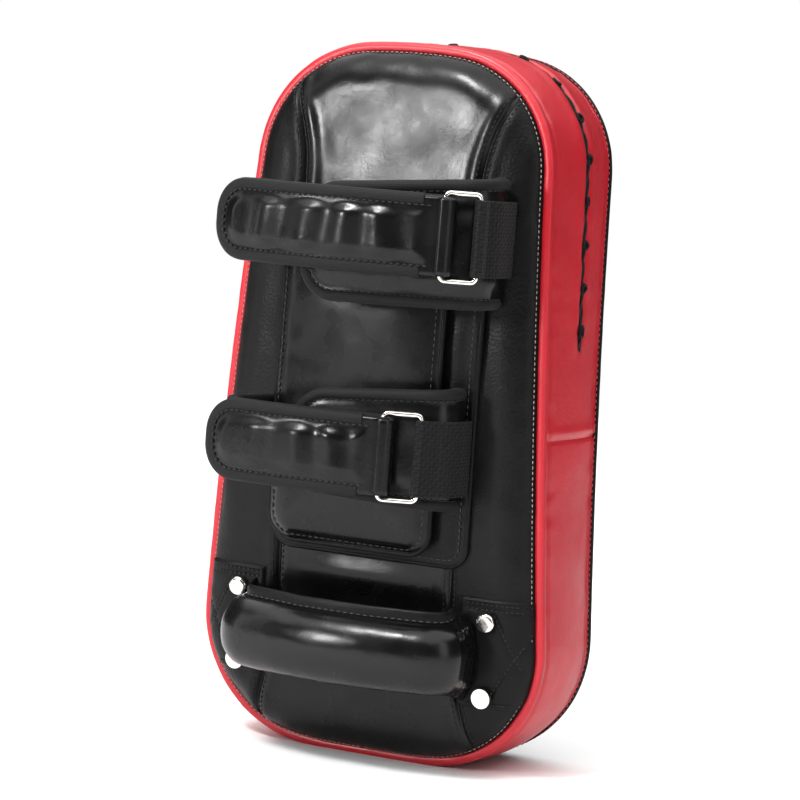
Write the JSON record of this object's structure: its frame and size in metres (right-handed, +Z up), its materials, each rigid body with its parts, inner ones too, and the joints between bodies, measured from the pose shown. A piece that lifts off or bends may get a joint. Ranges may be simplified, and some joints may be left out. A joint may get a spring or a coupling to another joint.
{
  "type": "thai pad",
  "caption": "Thick curved forearm striking pad with a tapered rounded body, laced red gusset, two buckled forearm cuffs and a riveted padded grip.",
  "frame": {"origin": "centre of the flat on the lower end that the pad stands on", "axes": "+Z up the length of the pad, +Y out of the strike face, +X to the right when looking at the arm side"},
  "size_m": [0.215, 0.1807, 0.4044],
  "materials": {
    "black_leather": "grained glossy black synthetic leather",
    "red_leather": "smooth semi-gloss red synthetic leather",
    "black_piping": "black piping along the strike side edge",
    "red_roll": "the red gusset leather turned over into a rolled edge",
    "foam": "dense closed-cell foam",
    "lining": "thin black lining cloth",
    "lace": "round braided black lace",
    "band_leather": "matt black synthetic leather",
    "grip_leather": "smooth glossy black synthetic leather",
    "cushion_leather": "semi-gloss grained black synthetic leather",
    "nickel": "polished nickel plate",
    "strap_leather": "creased glossy black synthetic leather",
    "binding": "woven charcoal binding tape with one line of stitches",
    "webbing": "ribbed black polypropylene webbing",
    "hook_tape": "black hook tape",
    "loop_tape": "black loop pile"
  },
  "bodies": {
    "root": {"arm_side_foam": "foam", "centre_panel": "black_leather", "cushion_base": "cushion_leather", "cushion_pad": "cushion_leather", "gusset_lower": "red_leather", "gusset_upper": "red_leather", "handle_band_left": "band_leather", "handle_band_right": "band_leather", "handle_core": "foam", "handle_cover": "grip_leather", "handle_flange": "band_leather", "lace_backing": "lining", "lace_cord": "lace", "lace_knots": "lace", "lower_leaf": "strap_leather", "lower_leaf_binding": "binding", "lower_loop_patch": "loop_tape", "lower_strap": "strap_leather", "lower_strap_binding": "binding", "lower_webbing": "webbing", "middle_foam": "foam", "piping_arm_side": "red_roll", "piping_strike_side": "black_piping", "rivet_caps": "nickel", "rivet_posts": "nickel", "side_panel_left": "black_leather", "side_panel_right": "black_leather", "strike_face_cover": "black_leather", "strike_foam": "foam", "upper_leaf": "strap_leather", "upper_leaf_binding": "binding", "upper_loop_patch": "loop_tape", "upper_strap": "strap_leather", "upper_strap_binding": "binding", "upper_webbing": "webbing"},
    "upper_ring_body": {"upper_ring": "nickel", "upper_strap_fold": "strap_leather"},
    "upper_tongue_body": {"upper_tongue": "strap_leather", "upper_tongue_binding": "binding", "upper_hook_patch": "hook_tape"},
    "lower_ring_body": {"lower_ring": "nickel", "lower_strap_fold": "strap_leather"},
    "lower_tongue_body": {"lower_tongue": "strap_leather", "lower_tongue_binding": "binding", "lower_hook_patch": "hook_tape"}
  },
  "joints": [
    {"name": "upper_ring_swing", "type": "hinge", "parent": "root", "child": "upper_ring_body", "pos_m": [0.073, -0.0928, 0.2995], "axis": [0, 0, 1], "range_deg": [0, 20]},
    {"name": "upper_tongue_peel", "type": "hinge", "parent": "upper_ring_body", "child": "upper_tongue_body", "pos_m": [0.0565, -0.10295, 0.2995], "axis": [0, 0, 1], "range_deg": [0, 135]},
    {"name": "lower_ring_swing", "type": "hinge", "parent": "root", "child": "lower_ring_body", "pos_m": [0.049, -0.095, 0.1786], "axis": [0, 0, 1], "range_deg": [0, 20]},
    {"name": "lower_tongue_peel", "type": "hinge", "parent": "lower_ring_body", "child": "lower_tongue_body", "pos_m": [0.0305, -0.10445, 0.1786], "axis": [0, 0, 1], "range_deg": [0, 135]}
  ]
}
